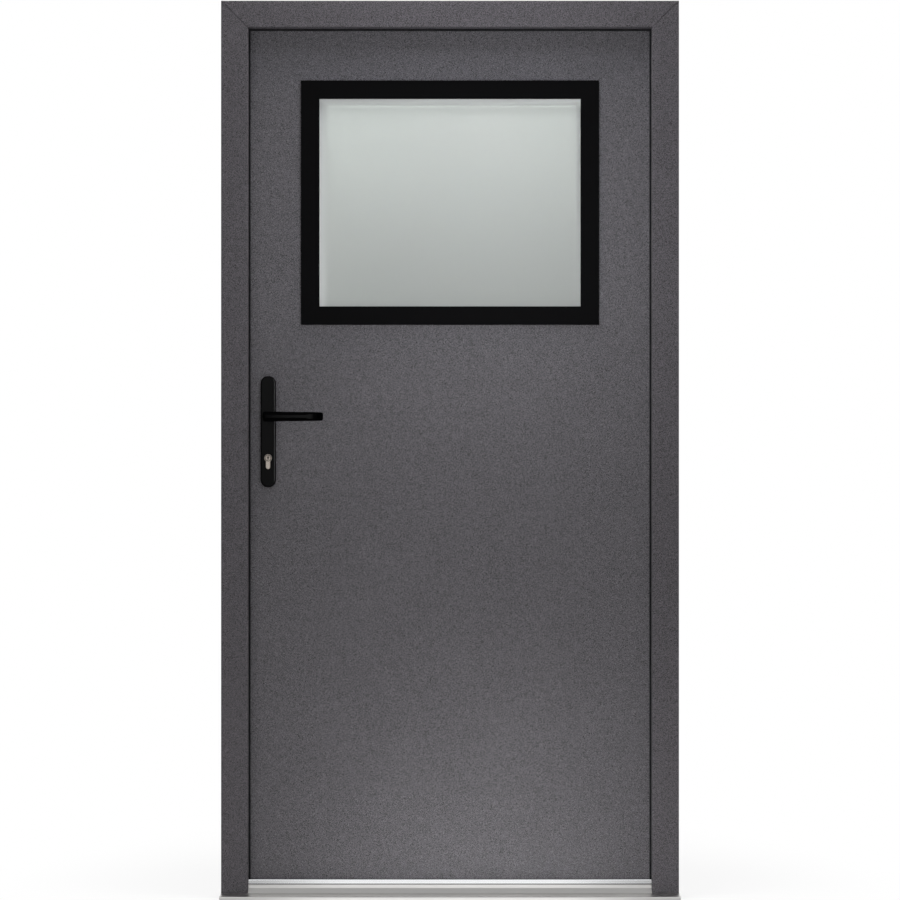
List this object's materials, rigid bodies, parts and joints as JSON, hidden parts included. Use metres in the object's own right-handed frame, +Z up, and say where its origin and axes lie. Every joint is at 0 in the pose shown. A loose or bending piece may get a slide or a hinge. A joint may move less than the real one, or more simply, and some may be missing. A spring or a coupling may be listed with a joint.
{
  "type": "glazed entrance door with frame",
  "caption": "Coated entrance door leaf with a frosted window in a black trim, lever handle and profile cylinder, hung in a mitred frame on a metal threshold.",
  "frame": {"origin": "middle of the threshold's underside, in the plane of the frame's outer face", "axes": "+X right as seen from outside, +Y into the building, +Z up"},
  "size_m": [1.02, 0.176, 2],
  "materials": {
    "coated_frame": "fine textured powder coat",
    "coated_skin": "fine textured powder coat",
    "coated_hinge": "fine textured powder coat",
    "bright_aluminium": "bright anodised",
    "black_plastic": "satin",
    "black_handle": "satin black",
    "black_rubber": "matte",
    "zinc_steel": "zinc plated",
    "satin_nickel": "satin nickel plate",
    "timber": "raw laminated timber",
    "foam_core": "rigid foam",
    "frosted_glass": "frosted",
    "clear_glass": "clear"
  },
  "bodies": {
    "frame": {"frame_head": "coated_frame", "frame_jamb_lock": "coated_frame", "frame_jamb_hinge": "coated_frame", "corner_cleats": "bright_aluminium", "jamb_connectors": "bright_aluminium", "sill_screws": "zinc_steel", "threshold_sill": "bright_aluminium", "threshold_rib": "bright_aluminium", "threshold_base": "black_plastic", "threshold_seal": "black_rubber", "frame_seal": "black_rubber", "strike_plate": "zinc_steel", "strike_box": "zinc_steel", "strike_screws": "zinc_steel", "hinge_frame_low": "coated_hinge", "hinge_frame_mid": "coated_hinge", "hinge_frame_top": "coated_hinge", "hinge_pins": "zinc_steel", "hinge_frame_screws": "zinc_steel"},
    "leaf": {"leaf_skin_outer": "coated_skin", "leaf_skin_inner": "coated_skin", "leaf_stile_lock": "timber", "leaf_stile_hinge": "timber", "leaf_rail_top": "timber", "leaf_rail_bottom": "timber", "leaf_lock_block": "timber", "leaf_core": "foam_core", "leaf_bottom_seal": "black_rubber", "window_trim_outer": "black_plastic", "window_trim_inner": "black_plastic", "window_trim_screws": "zinc_steel", "window_pane_outer": "frosted_glass", "window_pane_inner": "clear_glass", "window_spacer": "bright_aluminium", "window_sealant": "black_rubber", "window_tapes": "black_rubber", "window_blocks": "black_plastic", "lock_forend": "zinc_steel", "lock_case": "zinc_steel", "lock_cover": "zinc_steel", "lock_forend_screws": "zinc_steel", "cylinder_body": "satin_nickel", "cylinder_screw": "zinc_steel", "handle_plate_outer": "black_handle", "handle_plate_inner": "black_handle", "handle_bolts": "zinc_steel", "hinge_leaf_low": "coated_hinge", "hinge_leaf_mid": "coated_hinge", "hinge_leaf_top": "coated_hinge", "hinge_leaf_screws": "zinc_steel"},
    "handle": {"lever_outer": "black_handle", "lever_inner": "black_handle", "lever_spindle": "zinc_steel", "lock_follower": "zinc_steel"},
    "latch": {"latch": "zinc_steel"},
    "deadbolt": {"deadbolt": "zinc_steel"},
    "key_plug": {"cylinder_plug_outer": "satin_nickel", "cylinder_plug_inner": "satin_nickel", "cylinder_cam": "zinc_steel"}
  },
  "joints": [
    {"name": "leaf_swing", "type": "hinge", "parent": "frame", "child": "leaf", "pos_m": [0.463, 0.09, 0], "axis": [0, 0, -1], "range_deg": [0, 105]},
    {"name": "lever_turn", "type": "hinge", "parent": "leaf", "child": "handle", "pos_m": [-0.406, 0.05, 1.073], "axis": [0, 1, 0], "range_deg": [0, 40], "stiffness_Nm_per_rad": 1.5, "springref_deg": -17.19},
    {"name": "latch_slide", "type": "slide", "parent": "leaf", "child": "latch", "axis": [1, 0, 0], "range_m": [0, 0.012]},
    {"name": "key_turn", "type": "hinge", "parent": "leaf", "child": "key_plug", "pos_m": [-0.406, 0.05, 0.981], "axis": [0, -1, 0], "range_deg": [0, 360]},
    {"name": "bolt_throw", "type": "slide", "parent": "leaf", "child": "deadbolt", "axis": [-1, 0, 0], "range_m": [0, 0.02]}
  ],
  "couplings": [
    {"joint": "latch_slide", "follows": "lever_turn", "m_per_rad": 0.01718},
    {"joint": "key_turn", "follows": "bolt_throw", "rad_per_m": 314.16}
  ]
}
